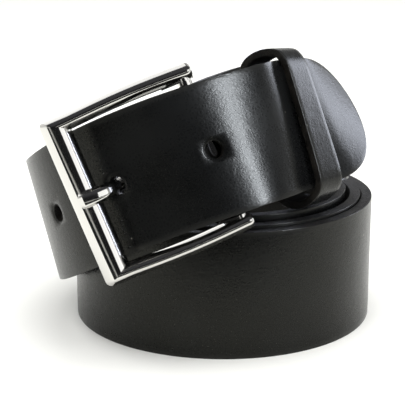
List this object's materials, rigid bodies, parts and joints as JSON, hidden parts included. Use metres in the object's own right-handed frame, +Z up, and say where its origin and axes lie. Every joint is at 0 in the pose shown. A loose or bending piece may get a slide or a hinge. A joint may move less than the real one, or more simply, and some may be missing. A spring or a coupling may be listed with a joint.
{
  "type": "leather work belt",
  "caption": "Black leather work belt with a plated frame buckle, buckled and rolled into a coil that stands on its edge, the buckled end leaning over the top",
  "frame": {"origin": "on the floor, under the middle of the belt's bounding box", "axes": "+Z up, +X to the right and -Y to the front, where the buckle faces"},
  "size_m": [0.114, 0.1118, 0.0917],
  "materials": {
    "black_leather": "full-grain leather, matte with a soft sheen, raw edges",
    "bright_plating": "polished plated casting",
    "rivet_steel": "plain bright steel"
  },
  "bodies": {
    "root": {"strap": "black_leather", "keeper": "black_leather", "buckle_frame": "bright_plating", "prong": "bright_plating", "fold_rivet_1": "rivet_steel", "fold_rivet_2": "rivet_steel"}
  },
  "joints": []
}
